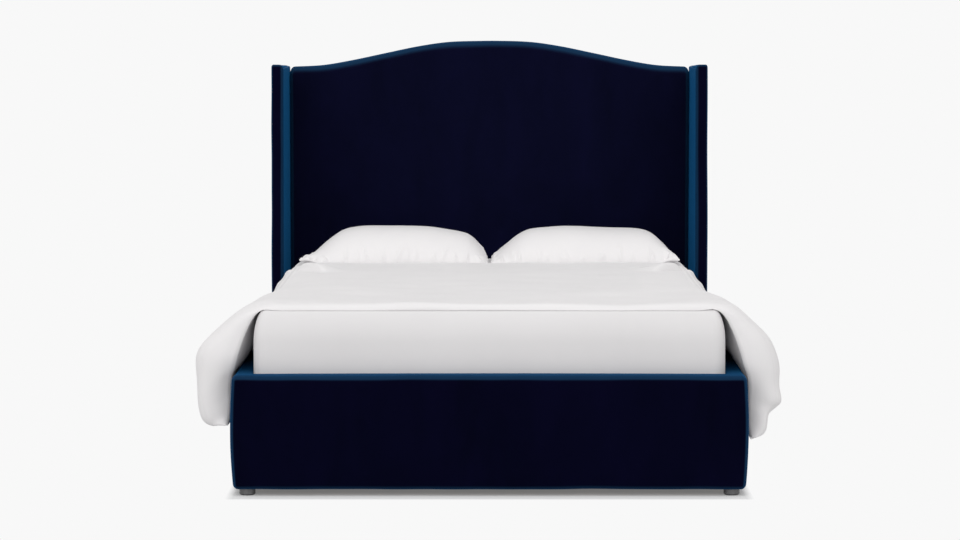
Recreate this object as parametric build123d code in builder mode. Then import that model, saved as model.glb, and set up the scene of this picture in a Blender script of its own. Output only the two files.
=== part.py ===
from build123d import *
import math
import os

os.makedirs("parts", exist_ok=True)

# Queen wingback bed with its mattress and bedding, in millimetres.
# +Z is up, the foot end faces -Y, and the origin is on the floor under the middle of the bed.

# Mattress and fitted sheet
mattress_width = 1524
mattress_length = 2032
mattress_height = 254
mattress_corner_radius = 60
mattress_edge_radius = 42
sheet_thickness = 1.5
sheet_hem_height = 22
loose_gap = 0.3

# Padded box that the mattress lies in
floor_clearance = 27
box_height = 362
mattress_sunk = 46
mattress_side_gap = 4
foot_gap = 4
head_gap = 6
board_thickness = 26
lining_thickness = 4
outer_pad = 32
pad_crown = 8
top_pad = 12
top_crown = 2
pad_edge_radius = 15
pad_corner_radius = 18
inner_edge_radius = 5

# Headboard
headboard_height = 1440
arch_drop = 102
headboard_pad = 34
face_board_thickness = 9
post_thickness = 29
back_cover_thickness = 8
headboard_top_pad = 20
headboard_edge_radius = 14
pad_start_above_box = 8
post_width = 60
cross_rail_height = 90
cross_rail_height_shares = (0.03, 0.42, 0.9)
# From the middle of the arch outwards: how far along each arc ends, and how far down
arch_shares = ((0.2, 0.042), (0.52, 0.46), (1.0, 1.0))

# Wings
wing_height = 1353
wing_depth_top = 390
wing_depth_low = 455
wing_side_pad = 16
wing_board_thickness = 24
wing_front_pad = 22
wing_top_pad = 14
wing_inner_gap = 14
wing_front_radius = 15
wing_outer_radius = 8
wing_top_corner_radius = 34
seat_gap = 0.3

# Slats, bearers, centre beam and its legs
slat_thickness = 20
slat_width = 75
slat_count = 15
slat_end_gap = 5
bearer_width = 32
bearer_height = 40
bearer_end_gap = 12
strap_width = 25
strap_thickness = 1.5
strap_place_share = 0.65
beam_width = 45
beam_height = 70
beam_end_gap = 1
hanger_thickness = 2.5
hanger_depth = 48
hanger_tab = 28
leg_width = 45
leg_count = 3
glide_radius = 17
glide_height = 12
glide_pin_radius = 4
glide_pin_length = 32
leg_bolt_radius = 4
leg_bolt_reach = 35

# Feet
foot_radius = 26
foot_pad_radius = 22
foot_pad_thickness = 3
foot_stud_radius = 4
foot_stud_below = 16
foot_stud_above = 34
tee_nut_radius = 9
tee_nut_flange = 1.6
tee_nut_barrel_radius = 5
tee_nut_length = 12
rear_foot_set_in = 1

# Steel brackets, bolts and screws, whose shanks and holes have few sides
fastener_sides = 6
pad_sides = 12
bracket_leg = 58
bracket_thickness = 4
bracket_rise = 68
bracket_bearer_gap = 8
bracket_hole_inset = 22
bracket_hole_spacing_share = 0.61
bolt_radius = 4
bolt_head_width = 13
bolt_head_height = 5.3
bolt_length = 22
washer_radius = 10
washer_thickness = 2
wing_bolt_low_share = 0.5
wing_bolt_gap_shares = (0.25, 0.85)
wing_bolt_end_cover = 4
screw_radius = 2.5
screw_head_radius = 5
screw_head_height = 3
screw_length = 50
screw_count = 5

# Duvet
duvet_thickness = 14
duvet_pillow_gap = 6
duvet_side_fullness = 101
duvet_hem_height = 197
duvet_rail_gap = 4
duvet_front_set_in = 4
duvet_widest_height = 400
duvet_shoulder_radius = 70
duvet_bottom_rise_share = 0.33
duvet_side_bulge = 24
# Along the duvet: place, how far the side stands out, and how far its hem hangs down
duvet_fold_shares = (
    (0.0, 1.0, 1.0),
    (0.08, 0.94, 0.98),
    (0.19, 0.86, 0.96),
    (0.31, 0.94, 0.99),
    (0.43, 0.70, 0.94),
    (0.54, 0.60, 0.93),
    (0.66, 0.66, 0.96),
    (0.78, 0.42, 0.92),
    (0.9, 0.30, 0.90),
    (1.0, 0.26, 0.92),
)

# Pillows
pillow_side_set_in = 46
pillow_depth = 508
pillow_height = 134
pillow_apart = 7
pillow_edge = 7
pillow_back_gap = 4
# Across the pillow: place, thickness and depth, which pulls in between the corners
pillow_shares = (
    (0.0, 0.06, 0.95),
    (0.05, 0.36, 1.0),
    (0.14, 0.71, 0.985),
    (0.28, 0.94, 0.965),
    (0.5, 1.0, 0.955),
    (0.72, 0.95, 0.965),
    (0.86, 0.74, 0.985),
    (0.95, 0.38, 1.0),
    (1.0, 0.06, 0.95),
)

# Places that follow from the sizes above
lining_face = mattress_width / 2 + mattress_side_gap
board_inner = lining_face + lining_thickness
board_outer = board_inner + board_thickness
box_half_width = board_outer + outer_pad
box_spread = box_half_width + pad_crown
box_top = floor_clearance + box_height
box_middle = floor_clearance + box_height / 2
board_height = box_height - top_pad
slat_top = box_top - mattress_sunk
slat_bottom = slat_top - slat_thickness
mattress_bottom = slat_top + loose_gap
mattress_top = mattress_bottom + mattress_height
sheet_top = mattress_top + sheet_thickness
sheet_half_width = mattress_width / 2 + sheet_thickness

foot_depth = pad_crown + outer_pad + board_thickness + lining_thickness
headboard_core = face_board_thickness + post_thickness
headboard_depth = headboard_pad + headboard_core + back_cover_thickness
bed_length = foot_depth + foot_gap + mattress_length + head_gap + headboard_depth
front_y = -bed_length / 2
back_y = bed_length / 2
foot_inner_y = front_y + foot_depth
foot_board_back = foot_inner_y - lining_thickness
foot_board_front = foot_board_back - board_thickness
mattress_foot_y = foot_inner_y + foot_gap
mattress_head_y = mattress_foot_y + mattress_length
headboard_front_y = mattress_head_y + head_gap
face_board_y = headboard_front_y + headboard_pad
post_y = face_board_y + face_board_thickness
back_cover_y = back_y - back_cover_thickness

wing_inner = mattress_width / 2 + wing_inner_gap
wing_board_inner = wing_inner + wing_side_pad
wing_board_outer = wing_board_inner + wing_board_thickness
wing_outer = wing_board_outer + wing_side_pad
wing_top_y = back_y - wing_depth_top
wing_low_y = back_y - wing_depth_low
wing_bottom = box_top + seat_gap
headboard_half_width = wing_inner - seat_gap
core_half_width = board_inner
side_wrap = headboard_half_width - core_half_width
core_height = headboard_height - headboard_top_pad
shoulder_height = headboard_height - arch_drop
post_middle = core_half_width - post_width / 2
post_top = shoulder_height - headboard_top_pad - cross_rail_height / 2
pad_bottom = box_top + pad_start_above_box

beam_bottom = slat_bottom - beam_height
leg_bottom = glide_height
slat_half_length = board_inner - slat_end_gap
strap_x = slat_half_length * strap_place_share
front_foot_x = board_inner + board_thickness / 2
front_foot_y = foot_board_front + board_thickness / 2
rear_foot_y = back_y - foot_radius - rear_foot_set_in
foot_places = (
    (-front_foot_x, front_foot_y),
    (front_foot_x, front_foot_y),
    (-post_middle, rear_foot_y),
    (post_middle, rear_foot_y),
)
leg_pitch = mattress_length / (leg_count + 1)
leg_places = [mattress_foot_y + leg_pitch * (number + 1) for number in range(leg_count)]
slat_pitch = (mattress_length - slat_width) / (slat_count - 1)
cross_rail_lows = [
    floor_clearance + share * (post_top - floor_clearance) for share in cross_rail_height_shares
]
bolt_gap_low = cross_rail_lows[1] + cross_rail_height
bolt_gap = cross_rail_lows[2] - bolt_gap_low
wing_bolt_heights = [box_top + wing_bolt_low_share * (cross_rail_lows[1] - box_top)]
wing_bolt_heights += [bolt_gap_low + share * bolt_gap for share in wing_bolt_gap_shares]
wing_bolt_y = post_y + post_thickness / 2
bracket_bottom = floor_clearance + bracket_rise
bracket_height = slat_bottom - bearer_height - bracket_bearer_gap - bracket_bottom
bracket_middle = bracket_bottom + bracket_height / 2
bracket_hole_spacing = bracket_height * bracket_hole_spacing_share
bracket_bolt_heights = (
    bracket_middle - bracket_hole_spacing / 2,
    bracket_middle + bracket_hole_spacing / 2,
)
bearer_middle = slat_bottom - bearer_height / 2
bearer_front = foot_board_back + bearer_end_gap
bearer_back = face_board_y - bearer_end_gap
screw_pitch = (bearer_back - bearer_front) / screw_count
screw_places = [bearer_front + screw_pitch * (number + 0.5) for number in range(screw_count)]
pillow_width = sheet_half_width - pillow_side_set_in - pillow_apart / 2
pillow_middle_y = headboard_front_y - pillow_back_gap - pillow_depth / 2
duvet_front_y = mattress_foot_y + duvet_front_set_in
duvet_length = pillow_middle_y - pillow_depth / 2 - duvet_pillow_gap - duvet_front_y
cut_over = 1


def save(piece, name):
    piece.part.label = name
    export_step(piece.part, f"parts/{name}.step")


def block(x_span, y_span, z_span, mode=Mode.ADD):
    # A plain block between two places along each axis
    with BuildSketch(Plane.XY.offset(z_span[0])) as plan:
        with Locations((sum(x_span) / 2, sum(y_span) / 2)):
            Rectangle(abs(x_span[1] - x_span[0]), abs(y_span[1] - y_span[0]))
    extrude(plan.sketch, amount=z_span[1] - z_span[0], mode=mode)


def rod(start, direction, radius, length):
    with BuildSketch(Plane(origin=start, z_dir=direction)) as section:
        Circle(radius)
    extrude(section.sketch, amount=length)


def shank(start, direction, radius, length, mode=Mode.ADD, sides=fastener_sides):
    # A small fastener's bar with few sides, or with a subtracting mode the hole that fits it
    with BuildSketch(Plane(origin=start, z_dir=direction)) as section:
        RegularPolygon(radius, sides, major_radius=False)
    extrude(section.sketch, amount=length, mode=mode)


def hex_bolt(seat, direction, length):
    # The head stands on the seat, and the shank runs along the direction
    away = Vector(*direction) * -1
    with BuildSketch(Plane(origin=seat, z_dir=away)) as head:
        RegularPolygon(bolt_head_width / 2, 6, major_radius=False)
    extrude(head.sketch, amount=bolt_head_height)
    shank(seat, direction, bolt_radius, length)


def mirrored(side, low, high):
    return sorted((side * low, side * high))


# Timber boards of the box


def rail_board(side):
    with BuildPart() as board:
        block(
            mirrored(side, board_inner, board_outer),
            (foot_board_back, back_cover_y),
            (floor_clearance, floor_clearance + board_height),
        )
        for y, z in rail_bracket_bolts():
            shank((side * board_inner, y, z), (side, 0, 0), bolt_radius, bolt_length, Mode.SUBTRACT)
        for y in screw_places:
            start = (side * board_inner, y, bearer_middle)
            shank(start, (side, 0, 0), screw_radius, screw_length - bearer_width, Mode.SUBTRACT)
    return board


def rail_bracket_bolts():
    for z in bracket_bolt_heights:
        yield foot_board_back + bracket_leg - bracket_hole_inset, z
        yield face_board_y - bracket_leg + bracket_hole_inset, z


def end_bracket_bolt_x():
    return board_inner - bracket_leg + bracket_hole_inset


with BuildPart() as footboard_board:
    block(
        (-board_outer, board_outer),
        (foot_board_front, foot_board_back),
        (floor_clearance, floor_clearance + board_height),
    )
    for side in (-1, 1):
        for z in bracket_bolt_heights:
            start = (side * end_bracket_bolt_x(), foot_board_back, z)
            shank(start, (0, -1, 0), bolt_radius, bolt_length, Mode.SUBTRACT)
        foot_hole = (side * front_foot_x, front_foot_y, floor_clearance)
        shank(foot_hole, (0, 0, 1), tee_nut_barrel_radius, tee_nut_length, Mode.SUBTRACT)
        shank(foot_hole, (0, 0, 1), tee_nut_radius, tee_nut_flange, Mode.SUBTRACT)
        shank(foot_hole, (0, 0, 1), foot_stud_radius, foot_stud_above, Mode.SUBTRACT)
save(footboard_board, "footboard_board")


# Padded covers of the box: crowned outside, wrapped over the board, and open below


def rail_cover(side):
    with BuildPart() as cover:
        with BuildSketch(Plane.XZ.offset(-back_y)) as section:
            with BuildLine():
                bottom_in = (side * lining_face, floor_clearance)
                bottom_out = (side * box_half_width, floor_clearance)
                top_out = (side * box_half_width, box_top - top_crown)
                top_in = (side * lining_face, box_top - top_crown)
                top_middle = (side * (lining_face + box_half_width) / 2, box_top)
                Line(bottom_in, bottom_out)
                ThreePointArc(bottom_out, (side * box_spread, box_middle), top_out)
                ThreePointArc(top_out, top_middle, top_in)
                Line(top_in, bottom_in)
            make_face()
        extrude(amount=back_y - foot_inner_y)
        long_edges = cover.edges().filter_by(Axis.Y)
        outer_edges = long_edges.sort_by(Axis.X)[-2:] if side > 0 else long_edges.sort_by(Axis.X)[:2]
        fillet(outer_edges, pad_edge_radius)
        inner_edges = cover.edges().filter_by(Axis.Y).group_by(Axis.X)[0 if side > 0 else -1]
        fillet(inner_edges.sort_by(Axis.Z)[-1], inner_edge_radius)
        block(
            mirrored(side, board_inner, board_outer),
            (foot_inner_y - cut_over, back_cover_y),
            (floor_clearance, floor_clearance + board_height),
            Mode.SUBTRACT,
        )
        block(
            mirrored(side, lining_face - cut_over, board_inner),
            (foot_inner_y - cut_over, back_y + cut_over),
            (floor_clearance - cut_over, slat_top),
            Mode.SUBTRACT,
        )
        block(
            mirrored(side, lining_face - cut_over, board_inner),
            (headboard_front_y, back_y + cut_over),
            (slat_top - cut_over, box_top + cut_over),
            Mode.SUBTRACT,
        )
    return cover


for side, hand in ((-1, "left"), (1, "right")):
    save(rail_board(side), f"side_rail_board_{hand}")
    save(rail_cover(side), f"side_rail_cover_{hand}")

with BuildPart() as footboard_cover:
    with BuildSketch(Plane.XZ.offset(-foot_inner_y)) as front_outline:
        with BuildLine():
            low_left = (-box_half_width, floor_clearance)
            low_right = (box_half_width, floor_clearance)
            high_right = (box_half_width, box_top - top_crown)
            high_left = (-box_half_width, box_top - top_crown)
            Line(low_left, low_right)
            ThreePointArc(low_right, (box_spread, box_middle), high_right)
            ThreePointArc(high_right, (0, box_top), high_left)
            ThreePointArc(high_left, (-box_spread, box_middle), low_left)
        make_face()
        fillet(front_outline.vertices(), pad_corner_radius)
    extrude(amount=foot_depth)
    front_face = footboard_cover.faces().sort_by(Axis.Y)[0]
    fillet(front_face.edges(), pad_edge_radius)
    block(
        (-board_outer, board_outer),
        (foot_board_front, foot_board_back),
        (floor_clearance - cut_over, floor_clearance + board_height),
        Mode.SUBTRACT,
    )
    block(
        (-board_outer, board_outer),
        (foot_board_back, foot_inner_y + cut_over),
        (floor_clearance - cut_over, slat_top),
        Mode.SUBTRACT,
    )
    for side in (-1, 1):
        block(
            mirrored(side, board_inner, board_outer),
            (foot_board_back, foot_inner_y + cut_over),
            (slat_top, floor_clearance + board_height),
            Mode.SUBTRACT,
        )
save(footboard_cover, "footboard_cover")


# Headboard: plywood face on posts and cross rails, padded cover over the front and the arched edge


def arched_outline(half_width, peak, bottom):
    # Arcs that run on smoothly from the middle, so the arch keeps its form at any inset
    with BuildSketch(Plane.XZ) as outline:
        with BuildLine():
            place, heading = (0, peak), (1, 0)
            for share_x, share_z in arch_shares:
                following = (share_x * half_width, peak - share_z * arch_drop)
                arc = TangentArc(place, following, tangent=heading)
                place, heading = following, arc % 1
            Polyline(place, (half_width, bottom), (0, bottom))
            mirror(about=Plane.YZ)
        make_face()
    return outline.sketch


def arched_plate(half_width, peak, bottom, start_y, thickness, mode=Mode.ADD):
    outline = arched_outline(half_width, peak, bottom).moved(Location((0, start_y, 0)))
    extrude(outline, amount=-thickness, mode=mode)


with BuildPart() as headboard_cover:
    arched_plate(
        headboard_half_width, headboard_height, pad_bottom, headboard_front_y, headboard_depth
    )
    front_face = headboard_cover.faces().sort_by(Axis.Y)[0]
    fillet(front_face.edges().filter_by(GeomType.CIRCLE), headboard_edge_radius)
    arched_plate(
        core_half_width,
        core_height,
        pad_bottom - cut_over,
        face_board_y,
        headboard_depth,
        Mode.SUBTRACT,
    )
    for side in (-1, 1):
        for z in wing_bolt_heights:
            start = (side * (core_half_width - cut_over), wing_bolt_y, z)
            shank(start, (side, 0, 0), bolt_radius, side_wrap + 2 * cut_over, Mode.SUBTRACT)
save(headboard_cover, "headboard_cover")

with BuildPart() as headboard_face_board:
    arched_plate(
        core_half_width, core_height, floor_clearance, face_board_y, face_board_thickness
    )
    for side in (-1, 1):
        for z in bracket_bolt_heights:
            start = (side * end_bracket_bolt_x(), face_board_y - cut_over, z)
            shank(start, (0, 1, 0), bolt_radius, face_board_thickness + 2 * cut_over, Mode.SUBTRACT)
save(headboard_face_board, "headboard_face_board")

with BuildPart() as headboard_posts:
    for side in (-1, 1):
        block(
            mirrored(side, core_half_width - post_width, core_half_width),
            (post_y, back_cover_y),
            (floor_clearance, post_top),
        )
        for z in wing_bolt_heights:
            start = (side * (core_half_width - post_width - cut_over), wing_bolt_y, z)
            shank(start, (side, 0, 0), bolt_radius, post_width + 2 * cut_over, Mode.SUBTRACT)
        foot_hole = (side * post_middle, rear_foot_y, floor_clearance)
        shank(foot_hole, (0, 0, 1), tee_nut_barrel_radius, tee_nut_length, Mode.SUBTRACT)
        shank(foot_hole, (0, 0, 1), tee_nut_radius, tee_nut_flange, Mode.SUBTRACT)
        shank(foot_hole, (0, 0, 1), foot_stud_radius, foot_stud_above, Mode.SUBTRACT)
save(headboard_posts, "headboard_posts")

with BuildPart() as headboard_cross_rails:
    for low in cross_rail_lows:
        block(
            (post_width - core_half_width, core_half_width - post_width),
            (post_y, back_cover_y),
            (low, low + cross_rail_height),
        )
save(headboard_cross_rails, "headboard_cross_rails")

with BuildPart() as headboard_back_cover:
    arched_plate(
        core_half_width, core_height, floor_clearance, back_cover_y, back_cover_thickness
    )
save(headboard_back_cover, "headboard_back_cover")


# Wings: a plywood board with a padded cover, bolted to the posts


def wing_outline(inset_front, inset_top, inset_back):
    with BuildSketch(Plane.YZ) as outline:
        with BuildLine():
            Polyline(
                (back_y - inset_back, wing_bottom),
                (wing_low_y + inset_front, wing_bottom),
                (wing_top_y + inset_front, wing_height - inset_top),
                (back_y - inset_back, wing_height - inset_top),
                close=True,
            )
        make_face()
        top_front = outline.vertices().group_by(Axis.Y)[-1].sort_by(Axis.X)[0]
        fillet(top_front, wing_top_corner_radius - inset_front)
    return outline.sketch


def wing_plate(side, low_x, thickness, insets, mode=Mode.ADD):
    outline = wing_outline(*insets).moved(Location((side * low_x, 0, 0)))
    extrude(outline, amount=side * thickness, mode=mode)


def wing_cover(side):
    with BuildPart() as cover:
        wing_plate(side, wing_inner, wing_outer - wing_inner, (0, 0, 0))
        inner_face, outer_face = cover.faces().filter_by(Axis.X).sort_by(lambda f: abs(f.center().X))
        shaped = [edge for edge in inner_face.edges() if edge.center().Y < back_y - seat_gap]
        shaped = [edge for edge in shaped if edge.center().Z > wing_bottom + seat_gap]
        fillet(shaped, wing_front_radius)
        fillet(outer_face.edges(), wing_outer_radius)
        wing_plate(
            side,
            wing_board_inner,
            wing_board_thickness,
            (wing_front_pad, wing_top_pad, back_cover_thickness),
            Mode.SUBTRACT,
        )
        for z in wing_bolt_heights:
            start = (side * (wing_inner - cut_over), wing_bolt_y, z)
            shank(start, (side, 0, 0), bolt_radius, wing_side_pad + 2 * cut_over, Mode.SUBTRACT)
    return cover


def wing_board(side):
    with BuildPart() as board:
        wing_plate(
            side,
            wing_board_inner,
            wing_board_thickness,
            (wing_front_pad, wing_top_pad, back_cover_thickness),
        )
        for z in wing_bolt_heights:
            start = (side * wing_board_inner, wing_bolt_y, z)
            depth = wing_board_thickness - wing_bolt_end_cover
            shank(start, (side, 0, 0), bolt_radius, depth, Mode.SUBTRACT)
    return board


for side, hand in ((-1, "left"), (1, "right")):
    save(wing_cover(side), f"wing_cover_{hand}")
    save(wing_board(side), f"wing_board_{hand}")

wing_bolt_seat = core_half_width - post_width

with BuildPart() as wing_washers:
    for side in (-1, 1):
        for z in wing_bolt_heights:
            seat = (side * wing_bolt_seat, wing_bolt_y, z)
            shank(seat, (-side, 0, 0), washer_radius, washer_thickness)
            shank(seat, (-side, 0, 0), bolt_radius, washer_thickness, Mode.SUBTRACT)
save(wing_washers, "wing_washers")

with BuildPart() as wing_bolts:
    for side in (-1, 1):
        for z in wing_bolt_heights:
            seat = (side * (wing_bolt_seat - washer_thickness), wing_bolt_y, z)
            reach = wing_board_outer - wing_bolt_end_cover - wing_bolt_seat + washer_thickness
            hex_bolt(seat, (side, 0, 0), reach)
save(wing_bolts, "wing_bolts")


# Corner brackets and their bolts

with BuildPart() as corner_brackets:
    for side in (-1, 1):
        for end_y, inward in ((foot_board_back, 1), (face_board_y, -1)):
            with BuildSketch(Plane.XY.offset(bracket_bottom)) as angle:
                with BuildLine():
                    corner_x, tip_x = side * board_inner, side * (board_inner - bracket_leg)
                    near_x = side * (board_inner - bracket_thickness)
                    tip_y, near_y = end_y + inward * bracket_leg, end_y + inward * bracket_thickness
                    Polyline(
                        (corner_x, end_y),
                        (tip_x, end_y),
                        (tip_x, near_y),
                        (near_x, near_y),
                        (near_x, tip_y),
                        (corner_x, tip_y),
                        close=True,
                    )
                make_face()
            extrude(amount=bracket_height)
            for z in bracket_bolt_heights:
                bolt_y = end_y + inward * (bracket_leg - bracket_hole_inset)
                start = (side * (board_inner - bracket_thickness - cut_over), bolt_y, z)
                length = bracket_thickness + 2 * cut_over
                shank(start, (side, 0, 0), bolt_radius, length, Mode.SUBTRACT)
                start = (side * end_bracket_bolt_x(), end_y - inward * cut_over, z)
                shank(start, (0, inward, 0), bolt_radius, length, Mode.SUBTRACT)
save(corner_brackets, "corner_brackets")

with BuildPart() as bracket_bolts:
    for side in (-1, 1):
        for y, z in rail_bracket_bolts():
            seat = (side * (board_inner - bracket_thickness), y, z)
            hex_bolt(seat, (side, 0, 0), bracket_thickness + bolt_length - washer_thickness)
        for z in bracket_bolt_heights:
            seat = (side * end_bracket_bolt_x(), foot_board_back + bracket_thickness, z)
            hex_bolt(seat, (0, -1, 0), bracket_thickness + bolt_length - washer_thickness)
            seat = (side * end_bracket_bolt_x(), face_board_y - bracket_thickness, z)
            hex_bolt(seat, (0, 1, 0), bracket_thickness + face_board_thickness)
save(bracket_bolts, "bracket_bolts")


# Slat bearers with their screws, slats and webbing straps


def slat_bearer(side):
    with BuildPart() as bearer:
        block(
            mirrored(side, board_inner - bearer_width, board_inner),
            (bearer_front, bearer_back),
            (slat_bottom - bearer_height, slat_bottom),
        )
        for y in screw_places:
            start = (side * (board_inner - bearer_width), y, bearer_middle)
            shank(start, (side, 0, 0), screw_radius, bearer_width, Mode.SUBTRACT)
    return bearer


for side, hand in ((-1, "left"), (1, "right")):
    save(slat_bearer(side), f"slat_bearer_{hand}")

with BuildPart() as bearer_screws:
    for side in (-1, 1):
        for y in screw_places:
            start = (side * (board_inner - bearer_width), y, bearer_middle)
            shank(start, (side, 0, 0), screw_radius, screw_length)
            shank(start, (-side, 0, 0), screw_head_radius, screw_head_height)
save(bearer_screws, "bearer_screws")

with BuildPart() as slats:
    for number in range(slat_count):
        slat_y = mattress_foot_y + number * slat_pitch
        block(
            (-slat_half_length, slat_half_length),
            (slat_y, slat_y + slat_width),
            (slat_bottom, slat_top),
        )
save(slats, "slats")

with BuildPart() as slat_straps:
    for side in (-1, 1):
        block(
            mirrored(side, strap_x, strap_x + strap_width),
            (mattress_foot_y, mattress_head_y),
            (slat_bottom - strap_thickness, slat_bottom),
        )
save(slat_straps, "slat_straps")


# Centre beam in steel hangers, with its legs and their glides on pins

with BuildPart() as centre_beam:
    block(
        (-beam_width / 2, beam_width / 2),
        (
            foot_board_back + hanger_thickness + beam_end_gap,
            face_board_y - hanger_thickness - beam_end_gap,
        ),
        (beam_bottom, slat_bottom),
    )
    for y in leg_places:
        shank((0, y, beam_bottom), (0, 0, 1), leg_bolt_radius, leg_bolt_reach, Mode.SUBTRACT)
save(centre_beam, "centre_beam")

with BuildPart() as beam_hangers:
    for end_y, inward in ((foot_board_back, 1), (face_board_y, -1)):
        plate_y = sorted((end_y, end_y + inward * hanger_thickness))
        cheek_y = sorted((end_y, end_y + inward * hanger_depth))
        half = beam_width / 2
        block(
            (-half - hanger_tab, half + hanger_tab),
            plate_y,
            (beam_bottom - hanger_thickness, slat_bottom - strap_thickness),
        )
        block((-half - hanger_thickness, half + hanger_thickness), cheek_y,
              (beam_bottom - hanger_thickness, beam_bottom))
        for side in (-1, 1):
            block(
                mirrored(side, half, half + hanger_thickness),
                cheek_y,
                (beam_bottom - hanger_thickness, slat_bottom - strap_thickness),
            )
save(beam_hangers, "beam_hangers")

with BuildPart() as centre_legs:
    for y in leg_places:
        block(
            (-leg_width / 2, leg_width / 2),
            (y - leg_width / 2, y + leg_width / 2),
            (leg_bottom, beam_bottom),
        )
        shank((0, y, leg_bottom), (0, 0, 1), glide_pin_radius, glide_pin_length, Mode.SUBTRACT)
        shank((0, y, beam_bottom), (0, 0, -1), leg_bolt_radius, leg_bolt_reach, Mode.SUBTRACT)
save(centre_legs, "centre_legs")

with BuildPart() as leg_bolts:
    for y in leg_places:
        start = (0, y, beam_bottom - leg_bolt_reach)
        shank(start, (0, 0, 1), leg_bolt_radius, 2 * leg_bolt_reach)
save(leg_bolts, "leg_bolts")

with BuildPart() as leg_glides:
    for y in leg_places:
        shank((0, y, 0), (0, 0, 1), glide_radius, glide_height, sides=pad_sides)
        shank((0, y, glide_height), (0, 0, 1), glide_pin_radius, glide_pin_length)
save(leg_glides, "leg_glides")


# Round feet on threaded studs, with a tee nut above and a glide pad below

with BuildPart() as feet:
    for x, y in foot_places:
        start = (x, y, foot_pad_thickness)
        rod(start, (0, 0, 1), foot_radius, floor_clearance - foot_pad_thickness)
    for x, y in foot_places:
        start = (x, y, floor_clearance - foot_stud_below)
        shank(start, (0, 0, 1), foot_stud_radius, foot_stud_below, Mode.SUBTRACT)
save(feet, "feet")

with BuildPart() as foot_pads:
    for x, y in foot_places:
        shank((x, y, 0), (0, 0, 1), foot_pad_radius, foot_pad_thickness, sides=pad_sides)
save(foot_pads, "foot_pads")

with BuildPart() as foot_studs:
    for x, y in foot_places:
        start = (x, y, floor_clearance - foot_stud_below)
        shank(start, (0, 0, 1), foot_stud_radius, foot_stud_below + foot_stud_above)
save(foot_studs, "foot_studs")

with BuildPart() as foot_tee_nuts:
    for x, y in foot_places:
        start = (x, y, floor_clearance)
        shank(start, (0, 0, 1), tee_nut_radius, tee_nut_flange)
        shank(start, (0, 0, 1), tee_nut_barrel_radius, tee_nut_length)
        shank(start, (0, 0, 1), foot_stud_radius, tee_nut_length, Mode.SUBTRACT)
save(foot_tee_nuts, "foot_tee_nuts")


# Mattress and the fitted sheet drawn over it


def mattress_plan(grow, bottom):
    with BuildSketch(Plane.XY.offset(bottom)) as plan:
        with Locations((0, mattress_foot_y + mattress_length / 2)):
            RectangleRounded(
                mattress_width + 2 * grow,
                mattress_length + 2 * grow,
                mattress_corner_radius + grow,
            )
    height = mattress_top + grow - bottom
    return plan.sketch, height


with BuildPart() as mattress:
    plan, height = mattress_plan(0, mattress_bottom)
    extrude(plan, amount=height)
    fillet(mattress.faces().sort_by(Axis.Z)[-1].edges(), mattress_edge_radius)
save(mattress, "mattress")

with BuildPart() as fitted_sheet:
    plan, height = mattress_plan(sheet_thickness, mattress_bottom + sheet_hem_height)
    extrude(plan, amount=height)
    fillet(
        fitted_sheet.faces().sort_by(Axis.Z)[-1].edges(), mattress_edge_radius + sheet_thickness
    )
    add(mattress.part, mode=Mode.SUBTRACT)
save(fitted_sheet, "fitted_sheet")


# Duvet: flat on the mattress, over its edges, out to the rails and down outside them


def duvet_section(y, stand_out, hang):
    # Half of a closed band, mirrored: underside, hem, outer side, shoulder, top
    corner_x = sheet_half_width - mattress_edge_radius - sheet_thickness
    corner_z = sheet_top - mattress_edge_radius - sheet_thickness
    bend = mattress_edge_radius + sheet_thickness + loose_gap
    rail_x = box_spread + duvet_rail_gap
    rail_z = box_top
    hem_z = box_top - hang * (box_top - duvet_hem_height)
    reach = math.hypot(rail_x - corner_x, rail_z - corner_z)
    angle = math.atan2(rail_z - corner_z, rail_x - corner_x) + math.acos(bend / reach)
    leave = (corner_x + bend * math.cos(angle), corner_z + bend * math.sin(angle))
    half_angle = (angle + math.pi / 2) / 2
    on_bend = (corner_x + bend * math.cos(half_angle), corner_z + bend * math.sin(half_angle))
    under = sheet_top + loose_gap
    top = under + duvet_thickness
    widest = rail_x + duvet_thickness + stand_out * duvet_side_fullness
    shoulder_x = sheet_half_width - duvet_shoulder_radius / 2
    shoulder_end = (shoulder_x + duvet_shoulder_radius * math.sin(math.pi / 4),
                    top - duvet_shoulder_radius * (1 - math.cos(math.pi / 4)))
    shoulder_mid = (shoulder_x + duvet_shoulder_radius * math.sin(math.pi / 8),
                    top - duvet_shoulder_radius * (1 - math.cos(math.pi / 8)))
    bulge = stand_out * duvet_side_bulge
    hem_width = widest - bulge / 2 - rail_x
    low_z = hem_z + duvet_bottom_rise_share * hem_width
    hem_in = (rail_x, low_z)
    hem_out = (rail_x + hem_width, low_z)
    hem_low = ((hem_in[0] + hem_out[0]) / 2, hem_z)
    side_wide = (widest, duvet_widest_height)
    side_middle = (widest, (low_z + duvet_widest_height) / 2)
    slope_middle = (
        (side_wide[0] + shoulder_end[0]) / 2 + bulge,
        (side_wide[1] + shoulder_end[1]) / 2 + bulge,
    )
    with BuildSketch(Plane.XZ.offset(-y)) as section:
        with BuildLine():
            Line((0, under), (corner_x, under))
            ThreePointArc((corner_x, under), on_bend, leave)
            Line(leave, (rail_x, rail_z))
            Line((rail_x, rail_z), hem_in)
            ThreePointArc(hem_in, hem_low, hem_out)
            ThreePointArc(hem_out, side_middle, side_wide)
            ThreePointArc(side_wide, slope_middle, shoulder_end)
            ThreePointArc(shoulder_end, shoulder_mid, (shoulder_x, top))
            Line((shoulder_x, top), (0, top))
            mirror(about=Plane.YZ)
        make_face()
    return section.sketch


with BuildPart() as duvet:
    sections = [
        duvet_section(duvet_front_y + place * duvet_length, stand_out, hang)
        for place, stand_out, hang in duvet_fold_shares
    ]
    loft(sections, ruled=True)
save(duvet, "duvet")


# Pillows: crowned, with thin edges, and pulled in between the corners


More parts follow.
